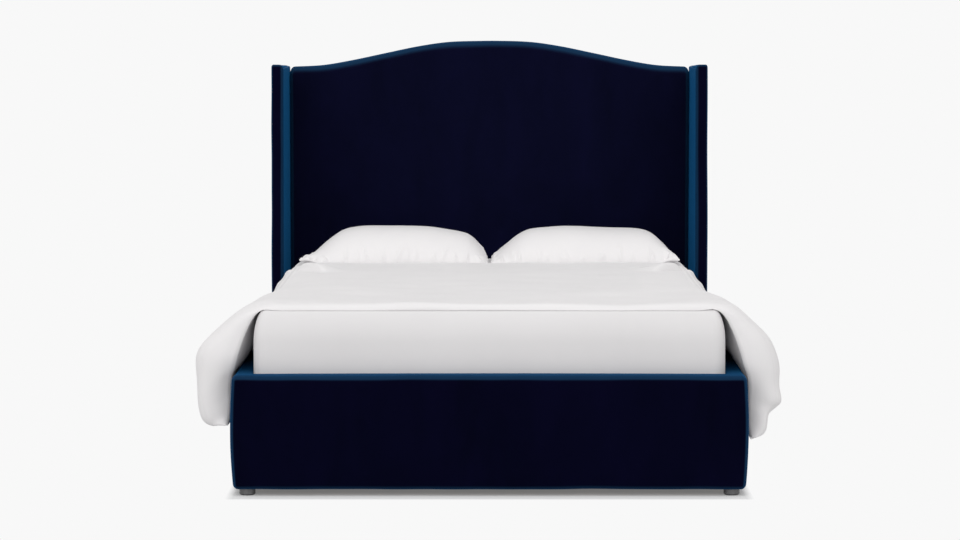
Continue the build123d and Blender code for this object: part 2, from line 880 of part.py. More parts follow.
def pillow(side):
    base = sheet_top + loose_gap
    rim = base + pillow_edge
    sections = []
    for place, thick, depth in pillow_shares:
        x = side * (pillow_apart / 2 + place * pillow_width)
        front = pillow_middle_y - depth * pillow_depth / 2
        back = pillow_middle_y + depth * pillow_depth / 2
        crown = base + pillow_edge + thick * (pillow_height - pillow_edge)
        with BuildSketch(Plane.YZ.offset(x)) as section:
            with BuildLine():
                ThreePointArc((front, rim), (pillow_middle_y, crown), (back, rim))
                Polyline((back, rim), (back, base), (front, base), (front, rim))
            make_face()
        sections.append(section.sketch)
    with BuildPart() as cushion:
        loft(sections, ruled=True)
    return cushion


for side, hand in ((-1, "left"), (1, "right")):
    save(pillow(side), f"pillow_{hand}")
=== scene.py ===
import bpy
import math
import numpy as np
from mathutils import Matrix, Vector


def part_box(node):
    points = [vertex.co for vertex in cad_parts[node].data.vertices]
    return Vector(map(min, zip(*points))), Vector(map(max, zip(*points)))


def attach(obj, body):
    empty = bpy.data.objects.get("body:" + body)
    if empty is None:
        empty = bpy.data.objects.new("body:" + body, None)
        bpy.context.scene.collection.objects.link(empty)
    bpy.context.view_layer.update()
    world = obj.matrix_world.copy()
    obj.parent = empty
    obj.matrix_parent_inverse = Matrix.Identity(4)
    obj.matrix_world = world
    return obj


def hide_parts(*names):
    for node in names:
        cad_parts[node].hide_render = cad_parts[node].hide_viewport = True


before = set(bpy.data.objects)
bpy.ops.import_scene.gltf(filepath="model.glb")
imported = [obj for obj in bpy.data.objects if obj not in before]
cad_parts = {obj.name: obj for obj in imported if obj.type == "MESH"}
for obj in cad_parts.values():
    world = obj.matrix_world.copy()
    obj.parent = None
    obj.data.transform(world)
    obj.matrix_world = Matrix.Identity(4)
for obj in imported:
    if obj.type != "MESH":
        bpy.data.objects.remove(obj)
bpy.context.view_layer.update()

scene = bpy.context.scene
print("frame loaded with", len(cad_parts), "nodes")


# A node tree written as sums: its sockets take part in plain arithmetic
class Value:
    def __init__(self, nodes, socket):
        self.nodes, self.socket = nodes, socket

    def sum(self, operation, other):
        return self.nodes.node("ShaderNodeMath", {"operation": operation}, {0: self, 1: other})

    def __add__(self, other):
        return self.sum("ADD", other)

    def __sub__(self, other):
        return self.sum("SUBTRACT", other)

    def __mul__(self, other):
        return self.sum("MULTIPLY", other)

    __radd__ = __add__
    __rmul__ = __mul__


class Nodes:
    def __init__(self, tree):
        self.tree = tree
        tree.nodes.clear()

    def node(self, kind, settings=None, inputs=None, output=0):
        made = self.tree.nodes.new(kind)
        for key, value in (settings or {}).items():
            setattr(made, key, value)
        for key, value in (inputs or {}).items():
            if isinstance(value, Value):
                self.tree.links.new(value.socket, made.inputs[key])
            else:
                made.inputs[key].default_value = value
        return Value(self, made.outputs[output])

    def blend(self, share, first, second):
        first, second = [c if isinstance(c, Value) else (*c, 1.0) for c in (first, second)]
        return self.node("ShaderNodeMix", {"data_type": "RGBA"}, {0: share, 6: first, 7: second}, 2)

    def seen(self):
        # One for what the camera sees, also in a mirror or through a pane
        kinds = ("Camera", "Glossy", "Transmission")
        rays = [self.node("ShaderNodeLightPath", output=f"Is {kind} Ray") for kind in kinds]
        return rays[0].sum("MAXIMUM", rays[1]).sum("MAXIMUM", rays[2])

    def end(self, kind, value, name="Surface"):
        self.tree.links.new(value.socket, self.tree.nodes.new(kind).inputs[name])


class Finish(Nodes):
    def __init__(self, name):
        self.material = bpy.data.materials.new(name)
        self.material.use_nodes = True
        super().__init__(self.material.node_tree)
        self.place = self.node("ShaderNodeTexCoord", output="Object")

    def stretched(self, scale):
        return self.node("ShaderNodeMapping", {}, {"Vector": self.place, "Scale": scale})

    def noise(self, scale, detail, roughness=0.5, place=None, distortion=0.0):
        inputs = {"Vector": place or self.place, "Scale": scale, "Detail": detail,
                  "Roughness": roughness, "Distortion": distortion}
        return self.node("ShaderNodeTexNoise", {}, inputs, "Fac")

    def waves(self, axis, scale):
        inputs = {"Vector": self.place, "Scale": scale}
        return self.node("ShaderNodeTexWave", {"bands_direction": axis}, inputs, "Fac")

    def ramp(self, value, low, high):
        return self.node("ShaderNodeMapRange", {}, {"Value": value, "From Min": low, "From Max": high})

    def bump(self, height, depth, strength):
        return self.node("ShaderNodeBump", {}, {"Height": height, "Distance": depth, "Strength": strength})

    def close(self, **sockets):
        inputs = {key.replace("_", " "): value for key, value in sockets.items()}
        self.end("ShaderNodeOutputMaterial", self.node("ShaderNodeBsdfPrincipled", {}, inputs))
        return self.material


# Velvet: nearly black head-on, with a blue bloom where the pile is seen from the side
velvetLook = {
    "deep": (0.0008, 0.0003, 0.0058),
    "lifted": (0.0016, 0.0008, 0.01),
    "bloom": (0.009, 0.112, 0.285, 1.0),
    "bloomRoughness": 0.42,
    # The turned colour is a painted highlight on rounded edges and upward faces, faded on downward faces as painted
    # shade
    "turned": (0.0065, 0.025, 0.062),
    "paintedHighlightRange": (0.03, 0.24),
    "paintedShadeBelowRange": (0.1, 0.6),
    "paintedShadeBelowShare": 0.5,
    "paintedTopHighlightRange": (0.75, 0.98),
    "paintedTopHighlightShare": 0.2,
    "pileSize": 700.0,
    "crushSize": 26.0,
    "napSize": 5.0,
}


def velvetFinish(name, settings):
    finish = Finish(name)
    nap = finish.noise(settings["napSize"], 4.0, 0.55, finish.stretched((1.0, 1.0, 0.35)), 0.6)
    crush = finish.noise(settings["crushSize"], 3.0, 0.6, finish.stretched((1.0, 1.0, 0.6)))
    pile = finish.noise(settings["pileSize"], 2.0, 0.6)
    weave = finish.noise(settings["pileSize"] * 3, 1.0, 0.5)
    shade = finish.ramp(nap * 0.7 + crush * 0.2 + pile * 0.1, 0.35, 0.65)
    # Painted highlight: the colour turns lighter blue where the cloth turns round an edge and on upward faces,
    # standing in for the sheen there
    turn = finish.node("ShaderNodeAttribute", {"attribute_name": "paintedEdgeHighlight"}, output="Fac")
    turn = finish.ramp(turn + nap * 0.04 - 0.02, *settings["paintedHighlightRange"])
    flat = finish.blend(shade, settings["deep"], settings["lifted"])
    return finish.close(
        Base_Color=finish.blend(turn, flat, settings["turned"]),
        Roughness=0.72 + pile * 0.2,
        Normal=finish.bump(pile * 0.5 + weave * 0.2 + crush * 0.6, 0.0006, 0.5),
        Specular_IOR_Level=0.02,
        Sheen_Weight=1.0,
        Sheen_Roughness=settings["bloomRoughness"],
        Sheen_Tint=settings["bloom"],
    )


# White bed linen: a plain weave with soft creases
linenLook = {
    "pillow": {"base": (0.845, 0.828, 0.83), "shade": (0.815, 0.798, 0.803), "crease": 0.001},
    "duvet": {"base": (0.84, 0.823, 0.828), "shade": (0.81, 0.795, 0.8), "crease": 0.0012},
    # The sheet is a darker copy of the same white cotton: painted shade on the mattress front
    "sheet": {"base": (0.765, 0.75, 0.755), "shade": (0.745, 0.73, 0.735), "crease": 0.0006},
}


def linenFinish(name, settings, waves=125.0):
    finish = Finish(name)
    across, upright, along = (finish.waves(axis, waves) for axis in "XZY")
    weave = across * 0.34 + upright * 0.33 + along * 0.33
    soft = finish.noise(3.1, 3.0, 0.5)
    crease = finish.noise(9.0, 5.0, 0.55, finish.stretched((1.0, 0.55, 0.8)), 1.2)
    fine = finish.noise(55.0, 3.0, 0.6, distortion=0.6)
    tone = finish.ramp(soft * 0.6 + crease * 0.3 + weave * 0.1, 0.35, 0.65)
    return finish.close(
        Base_Color=finish.blend(tone, settings["shade"], settings["base"]),
        Roughness=0.82 + weave * 0.12,
        Normal=finish.bump(crease + fine * 0.12 + weave * 0.02, settings["crease"], 0.8),
        Specular_IOR_Level=0.25,
        Sheen_Weight=0.12,
        Sheen_Roughness=0.5,
    )


# Bare timber: long grain on one axis with rings and pores
def timberFinish(name, pale, dark, along, scale=1.0):
    finish = Finish(name)
    squeeze = [22.0, 22.0, 22.0]
    squeeze["XYZ".index(along)] = 0.9
    grain = finish.noise(1.0 * scale, 5.0, 0.6, finish.stretched(squeeze), 0.8)
    squeeze["XYZ".index(along)] = 6.0
    pores = finish.noise(14.0 * scale, 2.0, 0.7, finish.stretched(squeeze))
    broad = finish.noise(2.4, 2.0, 0.5)
    figure = finish.ramp(grain * 0.75 + broad * 0.25, 0.38, 0.62)
    return finish.close(
        Base_Color=finish.blend(figure, dark, pale),
        Roughness=0.55 + pores * 0.25,
        Normal=finish.bump(grain * 0.6 + pores * 0.4, 0.0004, 0.6),
        Specular_IOR_Level=0.35,
    )


def metalFinish(name, colour, worn, metallic, roughness):
    finish = Finish(name)
    brushed = finish.noise(420.0, 2.0, 0.6, finish.stretched((1.0, 1.0, 0.08)))
    cloud = finish.noise(30.0, 3.0, 0.55)
    patch = finish.ramp(cloud * 0.7 + brushed * 0.3, 0.4, 0.62)
    return finish.close(
        Base_Color=finish.blend(patch, colour, worn),
        Roughness=roughness + cloud * 0.16 - brushed * 0.05,
        Metallic=metallic,
        Normal=finish.bump(brushed * 0.5 + cloud * 0.5, 0.00012, 0.5),
    )


def fibreFinish(name, pale, dark, scale, depth=0.0005):
    finish = Finish(name)
    fibres = finish.noise(scale, 4.0, 0.7, distortion=1.5)
    clumps = finish.noise(scale * 0.12, 2.0, 0.5)
    return finish.close(
        Base_Color=finish.blend(finish.ramp(fibres * 0.6 + clumps * 0.4, 0.35, 0.65), dark, pale),
        Roughness=0.85 + fibres * 0.1,
        Normal=finish.bump(fibres, depth, 0.7),
        Sheen_Weight=0.15,
    )


def webbingFinish(name, pale, dark):
    finish = Finish(name)
    ribs = finish.waves("Y", 40.0)
    cross = finish.waves("X", 90.0)
    return finish.close(
        Base_Color=finish.blend(finish.ramp(ribs * 0.6 + cross * 0.4, 0.2, 0.8), dark, pale),
        Roughness=0.75 + cross * 0.15,
        Normal=finish.bump(ribs * 0.7 + cross * 0.3, 0.0006, 0.8),
    )


# The headboard's velvet is a lighter copy of the same velvet: painted light on the headboard
paintedLitPanelLook = {**velvetLook, "deep": (0.0021, 0.0019, 0.0112), "lifted": (0.0031, 0.0028, 0.0172)}
plyTones = ((0.58, 0.42, 0.26), (0.46, 0.32, 0.19))
finishes = {
    "paintedLitVelvet": velvetFinish("blueVelvetPanel", paintedLitPanelLook),
    "velvet": velvetFinish("navyVelvet", velvetLook),
    "pillow": linenFinish("pillowCotton", linenLook["pillow"]),
    "duvet": linenFinish("duvetCotton", linenLook["duvet"]),
    "sheet": linenFinish("sheetCotton", linenLook["sheet"]),
    "slat": timberFinish("pineAcross", (0.66, 0.47, 0.28), (0.46, 0.29, 0.15), "X"),
    "bearer": timberFinish("pineAlong", (0.64, 0.45, 0.27), (0.44, 0.28, 0.15), "Y"),
    "post": timberFinish("pineUpright", (0.62, 0.44, 0.26), (0.43, 0.27, 0.14), "Z"),
    "plyAlong": timberFinish("plywoodAlong", *plyTones, "Y", 0.6),
    "plyAcross": timberFinish("plywoodAcross", *plyTones, "X", 0.6),
    "zinc": metalFinish("zincSteel", (0.55, 0.56, 0.58), (0.68, 0.68, 0.66), 1.0, 0.28),
    "blackSteel": metalFinish("blackSteel", (0.018, 0.018, 0.02), (0.035, 0.034, 0.034), 0.0, 0.42),
    "foot": metalFinish("footGrey", (0.115, 0.114, 0.116), (0.145, 0.143, 0.146), 0.25, 0.42),
    "felt": fibreFinish("darkFelt", (0.045, 0.045, 0.047), (0.02, 0.02, 0.021), 900.0),
    "plastic": fibreFinish("blackPlastic", (0.028, 0.028, 0.03), (0.018, 0.018, 0.02), 300.0, 0.00008),
    "webbing": webbingFinish("slatWebbing", (0.74, 0.71, 0.64), (0.55, 0.52, 0.45)),
    "ticking": linenFinish("mattressTicking", {**linenLook["sheet"], "base": (0.78, 0.775, 0.76)}, 62.5),
    "thread": linenFinish("whiteThread", {**linenLook["pillow"], "crease": 0.0004}),
}
print("finishes made:", len(finishes))

# Nodes of the frame that show as they are
nodeFinishes = {
    "velvet": ("headboard_back_cover",),
    "plyAcross": ("headboard_face_board", "footboard_board"),
    "plyAlong": ("wing_board_left", "wing_board_right", "side_rail_board_left", "side_rail_board_right"),
    "slat": ("slats", "headboard_cross_rails"),
    "post": ("headboard_posts", "centre_legs"),
    "bearer": ("slat_bearer_left", "slat_bearer_right", "centre_beam"),
    "blackSteel": ("corner_brackets", "beam_hangers"),
    "zinc": ("wing_bolts", "wing_washers", "bracket_bolts", "bearer_screws", "leg_bolts", "foot_studs",
             "foot_tee_nuts"),
    "webbing": ("slat_straps",), "plastic": ("leg_glides",), "foot": ("feet",), "felt": ("foot_pads",),
}
for finish, nodes in nodeFinishes.items():
    for node in nodes:
        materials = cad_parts[node].data.materials
        materials.clear()
        materials.append(finishes[finish])
hands = ((-1, "left"), (1, "right"))


# Meshes
def placed(name, data):
    made = bpy.data.objects.new(name, data)
    scene.collection.objects.link(made)
    return made


def smooth(mesh):
    mesh.polygons.foreach_set("use_smooth", np.ones(len(mesh.polygons), bool))


def meshObject(name, points, faces, finish):
    mesh = bpy.data.meshes.new(name)
    mesh.from_pydata(np.asarray(points, float).tolist(), [], [list(map(int, face)) for face in faces])
    mesh.materials.append(finishes[finish])
    smooth(mesh)
    mesh.update()
    return placed(name, mesh)


def readRows(rows, name):
    values = np.zeros(len(rows) * 3)
    rows.foreach_get(name, values)
    return values.reshape(-1, 3)


def pointsOf(piece):
    return readRows(piece.data.vertices, "co")


def normalsOf(piece):
    return readRows(piece.data.vertex_normals, "vector")


def setPoints(piece, points):
    piece.data.vertices.foreach_set("co", points.astype(np.float32).ravel())
    piece.data.update()


def settle(piece):
    # What the modifiers make becomes the mesh
    solved = bpy.data.meshes.new_from_object(piece.evaluated_get(bpy.context.evaluated_depsgraph_get()))
    piece.modifiers.clear()
    piece.data = solved


def mergeDoubles(piece):
    # Points within a hundredth of a millimetre become one
    weld = piece.modifiers.new("weld", "WELD")
    weld.merge_threshold = 1e-5
    settle(piece)


def markPaintedHighlight(piece, settings=velvetLook):
    # Where the velvet gets its painted highlight: how far the surface turns away from the axes, more on upward faces
    # and less on downward ones as painted shade, kept with the mesh
    normals = normalsOf(piece)
    below = smoothStep(-normals[:, 2], *settings["paintedShadeBelowRange"])
    value = (1 - np.abs(normals).max(1)) * (1 - settings["paintedShadeBelowShare"] * below)
    value += settings["paintedTopHighlightShare"] * smoothStep(normals[:, 2], *settings["paintedTopHighlightRange"])
    turn = piece.data.attributes.new("paintedEdgeHighlight", "FLOAT", "POINT")
    turn.data.foreach_set("value", value.astype(np.float32))
    return piece


def belongs(piece, body, slot, *replaced):
    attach(piece, body)
    if replaced:
        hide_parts(*replaced)


def roundedBox(low, high, radius, cells, edgeCells, square=()):
    # A closed box of quads with rounded edges, a radius and a number of cells for each axis.
    # A face named as square, such as "+y", is flat and sharp.
    low, high, radius = (np.array(v, float) for v in (low, high, radius))
    limits = low.copy(), high.copy()
    for face in square:
        axis = "xyz".index(face[1])
        if face[0] == "+":
            high[axis] += radius[axis]
        else:
            low[axis] -= radius[axis]
    turns = np.tan(np.linspace(math.pi / 4, 0, edgeCells + 1))
    lines = []
    for axis in range(3):
        near = low[axis] + radius[axis] * (1 - turns)
        far = high[axis] - radius[axis] * (1 - turns[::-1])
        middle = np.linspace(near[-1], far[0], cells[axis] + 1)[1:-1]
        lines.append(np.concatenate([near, middle, far]))
    counts = [len(line) for line in lines]
    strides = (counts[1] * counts[2], counts[2], 1)
    quads = []
    for axis in range(3):
        second, third = (axis + 1) % 3, (axis + 2) % 3
        u, v = np.meshgrid(np.arange(counts[second] - 1), np.arange(counts[third] - 1), indexing="ij")
        u, v = u.ravel(), v.ravel()
        corners = [(u, v), (u + 1, v), (u + 1, v + 1), (u, v + 1)]
        for end, order in ((counts[axis] - 1, corners), (0, corners[::-1])):
            quads.append(np.stack([end * strides[axis] + a * strides[second] + b * strides[third]
                                   for a, b in order], 1))
    used, faces = np.unique(np.concatenate(quads), return_inverse=True)
    faces = faces.reshape(-1, 4)
    grid = np.stack([line[place] for line, place in zip(lines, np.unravel_index(used, counts))], 1)
    core = np.clip(grid, low + radius, high - radius)
    away = (grid - core) / radius
    away /= np.linalg.norm(away, axis=1)[:, None]
    return np.clip(core + radius * away, *limits), faces


def tighter(distance, radius, share, reach):
    # A quarter round of this radius, measured from its face, becomes a tighter one
    return np.interp(distance, [0, radius, reach], [0, radius * share, reach])


def ripple(points, length, seed):
    # A smooth irregular height over the points, about one high
    chance = np.random.default_rng(seed)
    total, waves = np.zeros(len(points)), 8
    for _ in range(waves):
        direction = chance.normal(size=3)
        direction *= 2 * math.pi / (length * chance.uniform(0.7, 1.6) * np.linalg.norm(direction))
        total += np.sin(points @ direction + chance.uniform(0, 2 * math.pi))
    return total / math.sqrt(waves)


def smoothStep(value, low, high):
    share = np.clip((value - low) / (high - low), 0, 1)
    return share * share * (3 - 2 * share)


def smoothPath(stops, count):
    # Points evenly along a curve through the stops
    stops = np.array(stops, float)
    padded = np.vstack([2 * stops[0] - stops[1], stops, 2 * stops[-1] - stops[-2]])
    fine = []
    for number in range(len(stops) - 1):
        a, b, c, d = padded[number:number + 4]
        t = np.linspace(0, 1, 24, endpoint=False)[:, None]
        fine.append(0.5 * (2 * b + (c - a) * t + (2 * a - 5 * b + 4 * c - d) * t ** 2
                           + (3 * b - a - 3 * c + d) * t ** 3))
    fine = np.vstack([*fine, stops[-1:]])
    lengths = np.concatenate([[0], np.cumsum(np.linalg.norm(np.diff(fine, axis=0), axis=1))])
    wanted = np.linspace(0, lengths[-1], count)
    return np.stack([np.interp(wanted, lengths, fine[:, axis]) for axis in range(stops.shape[1])], 1)


def tube(points, radius, sides):
    # A thin tube along the points, with a flat face at each end
    ahead = np.gradient(points, axis=0)
    ahead /= np.linalg.norm(ahead, axis=1)[:, None]
    up = np.where(np.abs(ahead[:, 2:3]) > 0.9, [[1.0, 0, 0]], [[0, 0, 1.0]])
    sideways = np.cross(ahead, up)
    sideways /= np.linalg.norm(sideways, axis=1)[:, None]
    upright = np.cross(sideways, ahead)
    angles = np.linspace(0, 2 * math.pi, sides, endpoint=False)
    rings = (points[:, None] + radius * (np.cos(angles)[:, None] * sideways[:, None]
                                         + np.sin(angles)[:, None] * upright[:, None]))
    last = (len(points) - 1) * sides
    here = np.arange(last)
    follow = here - here % sides + (here + 1) % sides
    faces = np.stack([here, follow, follow + sides, here + sides], 1).tolist()
    faces += [list(range(sides))[::-1], list(range(last, last + sides))]
    return rings.reshape(-1, 3), faces


def cutAway(piece, *blocks):
    # The room for the boards is taken out of a padded cover
    for low, high in blocks:
        points = [(x, y, z) for x in (low[0], high[0]) for y in (low[1], high[1]) for z in (low[2], high[2])]
        sides = [(0, 1, 3, 2), (4, 6, 7, 5), (0, 4, 5, 1), (2, 3, 7, 6), (0, 2, 6, 4), (1, 5, 7, 3)]
        cutWith(piece, meshObject("cutter", points, sides, "velvet"))


def cutWith(piece, cutter):
    cut = piece.modifiers.new("cut", "BOOLEAN")
    cut.operation, cut.solver, cut.object = "DIFFERENCE", "EXACT", cutter
    settle(piece)
    bpy.data.objects.remove(cutter)
    piece.data.set_sharp_from_angle(angle=math.radians(38))


# Padded velvet covers of the box
coverPad = {
    "edge": (0.016, 0.028, 0.018),
    "hang": 0.007,
    "fullTop": 0.001,
    "railEdge": 0.015,
    "railShare": 0.35,
    "sideCrown": 0.008,
    "frontCrown": 0.007,
    "topCrown": 0.002,
    "cutPast": 0.01,
    "cell": 0.02,
    "unevenness": 0.0007,
    "unevenLength": 0.22,
}


def nodeBox(node):
    low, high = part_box(node)
    return np.array(low), np.array(high)


def cellCounts(low, high, settings):
    return [int((b - a) / settings["cell"]) for a, b in zip(low, high)]


def sideMesh(name, points, faces, side):
    # A piece made for the right side, mirrored where it belongs on the left
    return meshObject(name, points * [side, 1, 1], faces if side > 0 else faces[:, ::-1], "velvet")


def uneven(points, settings, seed, square):
    # The padding is never even, but its square faces stay flat
    push = np.stack([ripple(points, settings["unevenLength"], seed + axis) for axis in range(3)], 1)
    for face in square:
        place = points[:, "xyz".index(face[1])]
        edge = place.max() if face[0] == "+" else place.min()
        push *= smoothStep(np.abs(place - edge), 0.0, 0.04)[:, None]
    return points + settings["unevenness"] * push


def footboardPiece(settings):
    low, high = nodeBox("footboard_cover")
    boardLow, boardHigh = nodeBox("footboard_board")
    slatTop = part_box("slats")[1].z
    half, middleZ, halfZ = high[0] - settings["sideCrown"], (low[2] + high[2]) / 2, (high[2] - low[2]) / 2
    boxLow = (-half, low[1] + settings["frontCrown"], low[2] - settings["hang"])
    boxHigh = (half, high[1], high[2] + settings["fullTop"])
    cells = [count + 1 for count in cellCounts(boxLow, boxHigh, settings)]
    square, past = ["+y"], settings["cutPast"]
    points, faces = roundedBox(boxLow, boxHigh, settings["edge"], cells, 8, square)
    x, y, z = points.T
    rise = 1 - ((z - middleZ) / halfZ) ** 2
    front = (boxHigh[1] - y) / (boxHigh[1] - boxLow[1])
    points[:, 0] += x / half * settings["sideCrown"] * rise
    points[:, 1] -= front * settings["frontCrown"] * rise * (1 - (x / half) ** 8)
    points[:, 2] += (z - low[2]) / (2 * halfZ) * settings["topCrown"] * (1 - (x / half) ** 2)
    piece = meshObject("footboardVelvet", uneven(points, settings, 11, square), faces, "velvet")
    cutAway(piece, (boardLow - [0, 0, past], boardHigh),
            ((boardLow[0], boardHigh[1] - 0.001, low[2] - past), (boardHigh[0], high[1] + past, slatTop)))
    belongs(markPaintedHighlight(piece), "bed_frame", "velvet", "footboard_cover")


def railPiece(side, hand, settings):
    low, high = nodeBox(f"side_rail_cover_{hand}")
    boardLow, boardHigh = nodeBox(f"side_rail_board_{hand}")
    slatTop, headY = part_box("slats")[1].z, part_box("headboard_cover")[0].y
    inner, outer = sorted((abs(low[0]), abs(high[0])))
    outer -= settings["sideCrown"]
    middleZ, halfZ = (low[2] + high[2]) / 2, (high[2] - low[2]) / 2
    boxLow = (inner, low[1], low[2] - settings["hang"])
    boxHigh = (outer, high[1], high[2] - settings["topCrown"])
    cells = [2, *cellCounts(low[1:], high[1:], settings)]
    edge, past = settings["railEdge"], settings["cutPast"]
    square = ["-y", "+y"]
    points, faces = roundedBox(boxLow, boxHigh, [edge, 0.004, edge], cells, 6, square)
    points[:, 0] = inner + tighter(points[:, 0] - inner, edge, settings["railShare"], outer - inner)
    x, _, z = points.T
    share = (x - inner) / (outer - inner)
    points[:, 0] += share * settings["sideCrown"] * (1 - ((z - middleZ) / halfZ) ** 2)
    points[:, 2] += np.clip((z - low[2]) / (2 * halfZ), 0, 1) * settings["topCrown"] * (1 - (2 * share - 1) ** 2)
    piece = sideMesh(f"railVelvet_{hand}", uneven(points, settings, 21 + side, square), faces, side)
    lining = sorted((side * (inner - past), side * abs(boardLow[0] if side > 0 else boardHigh[0])))
    cutAway(piece, (boardLow - [0, past, past], boardHigh),
            ((lining[0], low[1] - past, low[2] - past), (lining[1], high[1] + past, slatTop)),
            ((lining[0], headY, low[2] - past), (lining[1], high[1] + past, high[2] + past)))
    belongs(markPaintedHighlight(piece), "bed_frame", "velvet", f"side_rail_cover_{hand}")


footboardPiece(coverPad)
for side, hand in hands:
    railPiece(side, hand, coverPad)
print("box covered")

# Arched headboard and its wings
headboardPad = {
    "sideEdge": 0.02,
    "squeeze": 0.0125,
    "edge": 0.034,
    "crown": 0.007,
    "cell": 0.02,
    "archStops": ((0, 0), (0.2, 0.042), (0.36, 0.21), (0.52, 0.46), (0.7, 0.75), (0.85, 0.94), (1, 1)),
    "archDrop": 0.102,
    "archReach": 0.25,
    "cutPast": 0.02,
    "unevenness": 0.0008,
    "unevenLength": 0.3,
}
archLine = smoothPath(headboardPad["archStops"], 120)


def archFall(x, halfWidth, settings):
    return np.interp(np.abs(x) / halfWidth, archLine[:, 0], archLine[:, 1]) * settings["archDrop"]


def archedBox(low, high, radius, cells, halfWidth, settings):
    points, faces = roundedBox(low, high, radius, cells, 8, ["+y", "-z"])
    lift = smoothStep(points[:, 2], low[2], high[2] - settings["archReach"])
    points[:, 2] -= archFall(points[:, 0], halfWidth, settings) * lift
    return points, faces


def headboardPiece(settings):
    low, high = nodeBox("headboard_cover")
    coreLow, coreHigh = nodeBox("headboard_face_board")
    # The padding is squeezed out sideways, up to the wings
    squeeze = np.array([settings["squeeze"], 0, 0])
    boxLow, boxHigh = low + [0, settings["crown"], 0] - squeeze, high + squeeze
    across, _, upright = cellCounts(low, high, settings)
    radius = [settings["sideEdge"], settings["edge"], settings["edge"]]
    points, faces = archedBox(boxLow, boxHigh, radius, [across, 2, upright], high[0], settings)
    x, y, z = points.T
    front = smoothStep(-y, -coreLow[1], -boxLow[1])
    rise = (1 - (x / high[0]) ** 6) * (1 - (2 * (z - low[2]) / (high[2] - low[2]) - 1) ** 6)
    points[:, 1] -= front * settings["crown"] * np.clip(rise, 0, 1)
    points = uneven(points, settings, 31, ["+y", "-z", "-x", "+x"])
    # The headboard takes the lighter velvet copy, painted light
    piece = meshObject("headboardVelvet", points, faces, "paintedLitVelvet")
    past = settings["cutPast"]
    coreLow, coreHigh = (*coreLow[:2], low[2] - past), (coreHigh[0], high[1] + past, coreHigh[2])
    core = archedBox(coreLow, coreHigh, [0.0005] * 3, [80, 1, 30], high[0], settings)
    cutWith(piece, meshObject("cutter", *core, "velvet"))
    belongs(markPaintedHighlight(piece), "bed_frame", "velvet", "headboard_cover")


wingPad = {
    "edge": 0.012,
    "outerShare": 0.65,
    "innerShift": 0.0128,
    "outerShift": 0.002,
    "liningStand": 0.0025,
    "liningDepth": 0.016,
    "liningFront": 0.016,
    "liningDrop": 0.013,
    "liningBack": 0.004,
    "liningEdge": 0.007,
    "crown": 0.0012,
    "fallBack": 0.011,
    "fallRange": (0.8, 1.0),
    "cell": 0.02,
    "frontRun": 0.065,
    "unevenness": 0.0006,
    "unevenLength": 0.26,
}


def wingPiece(side, hand, settings):
    low, high = nodeBox(f"wing_cover_{hand}")
    inner, outer = sorted((abs(low[0]), abs(high[0])))
    inner, outer = inner + settings["innerShift"], outer + settings["outerShift"]
    face = inner + settings["liningStand"]
    boxLow, boxHigh = (face, *low[1:]), (outer, *high[1:])
    edge, square = settings["edge"], ["+y", "-z"]
    cells = [2, *cellCounts(low[1:], high[1:], settings)]
    points, faces = roundedBox(boxLow, boxHigh, [edge] * 3, cells, 8, square)
    points[:, 0] = outer - tighter(outer - points[:, 0], edge, settings["outerShare"], outer - face)
    _, back, up = ((points - low) / (high - low)).T
    rise = np.clip((1 - (2 * up - 1) ** 4) * (1 - (2 * back - 1) ** 4), 0, 1)
    points[:, 0] += settings["crown"] * rise * np.clip((points[:, 0] - inner) / (outer - inner), 0, 1)
    points[:, 1] += settings["frontRun"] * up * (1 - back)
    points[:, 2] -= settings["fallBack"] * back * smoothStep(up, *settings["fallRange"])
    piece = sideMesh(f"wingVelvet_{hand}", uneven(points, settings, 41 + side, square), faces, side)
    belongs(markPaintedHighlight(piece), "bed_frame", "velvet", f"wing_cover_{hand}")
    # The inner side has its own padded lining, a little lower and set back from the front
    boxLow = (inner, low[1] + settings["liningFront"], low[2] + 0.001)
    boxHigh = (inner + settings["liningDepth"], high[1] - settings["liningBack"], high[2] - settings["liningDrop"])
    cells = [1, *cellCounts(boxLow[1:], boxHigh[1:], settings)]
    points, faces = roundedBox(boxLow, boxHigh, [settings["liningEdge"]] * 3, cells, 6, ["+y", "-z", "+x"])
    _, back, up = ((points - low) / (high - low)).T
    points[:, 1] += settings["frontRun"] * up * (1 - back)
    inside = sideMesh(f"wingLining_{hand}", points, faces, side)
    belongs(markPaintedHighlight(inside), "bed_frame", "velvet")


headboardPiece(headboardPad)
for side, hand in hands:
    wingPiece(side, hand, wingPad)
print("headboard and wings covered")

# Mattress and its fitted sheet
mattressLook = {
    "headSag": 0.013,
    "sagLength": 0.42,
    "sagEnd": 0.02,
    "sagDepth": 0.2,
    "rounding": (0.0385, 0.0435, 0.1035),
    "pipingRadius": 0.0035,
    "pipingHeight": 0.006,
    "pipingCount": 160,
}
sheetLook = {
    "rounding": (0.04, 0.045, 0.105),
    "thickness": 0.0012,
    "pull": 0.0009,
    "gatherRun": 0.03,
    "cornerReach": (0.1, 0.01),
    "flat": (1.94, 2.45),
}


def headSag(y, settings):
    # The pillows weigh the mattress down toward the head
    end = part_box("mattress")[1].y
    return settings["headSag"] * smoothStep(y, end - settings["sagLength"], end - settings["sagEnd"])


def sagDown(points, settings):
    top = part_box("mattress")[1].z
    share = smoothStep(points[:, 2], top - settings["sagDepth"], top - settings["sagEnd"])
    points[:, 2] -= headSag(points[:, 1], settings) * share


